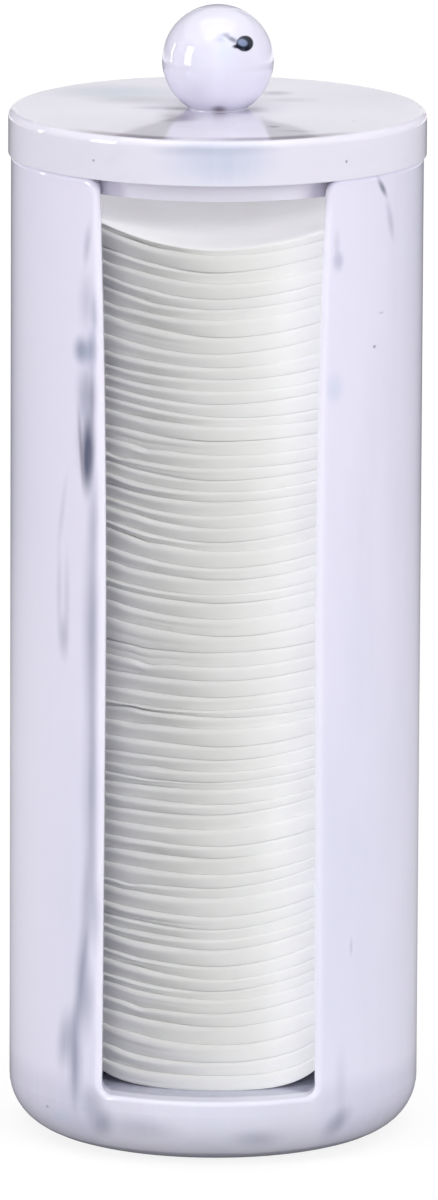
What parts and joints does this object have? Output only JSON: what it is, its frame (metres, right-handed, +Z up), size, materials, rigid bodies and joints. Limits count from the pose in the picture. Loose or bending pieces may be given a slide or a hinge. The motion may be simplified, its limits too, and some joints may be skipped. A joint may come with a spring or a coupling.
{
  "type": "cotton pad holder",
  "caption": "Round canister for cotton pads with a full-height front dispensing slot, a lift-off lid with a ball knob and a stack of pads inside.",
  "frame": {"origin": "centre of the ring that the canister stands on, at table level", "axes": "+Z up the canister's axis, -Y out of the dispensing slot, +X to the right as seen from the slot side"},
  "size_m": [0.075, 0.075, 0.2051],
  "materials": {
    "marbled_plastic": "glossy, milky lavender white with blue-grey marbling",
    "cotton": "matt pressed cotton"
  },
  "bodies": {
    "canister": {"canister": "marbled_plastic", "cotton_pads_01": "cotton", "cotton_pads_02": "cotton", "cotton_pads_03": "cotton", "cotton_pads_04": "cotton", "cotton_pads_05": "cotton", "cotton_pads_06": "cotton", "cotton_pads_07": "cotton", "cotton_pads_08": "cotton", "cotton_pads_09": "cotton", "cotton_pads_10": "cotton", "cotton_pads_11": "cotton", "cotton_pads_12": "cotton", "cotton_pads_13": "cotton", "cotton_pads_14": "cotton", "cotton_pads_15": "cotton", "cotton_pads_16": "cotton", "cotton_pads_17": "cotton", "cotton_pads_18": "cotton", "cotton_pads_19": "cotton", "cotton_pads_20": "cotton", "cotton_pads_21": "cotton", "cotton_pads_22": "cotton", "cotton_pads_23": "cotton", "cotton_pads_24": "cotton", "cotton_pads_25": "cotton", "cotton_pads_26": "cotton", "cotton_pads_27": "cotton", "cotton_pads_28": "cotton", "cotton_pads_29": "cotton", "cotton_pads_30": "cotton", "cotton_pads_31": "cotton", "cotton_pads_32": "cotton"},
    "lid": {"lid": "marbled_plastic", "knob": "marbled_plastic"}
  },
  "joints": [
    {"name": "lid_lift", "type": "slide", "parent": "canister", "child": "lid", "axis": [0, 0, 1], "range_m": [0, 0.06]}
  ]
}
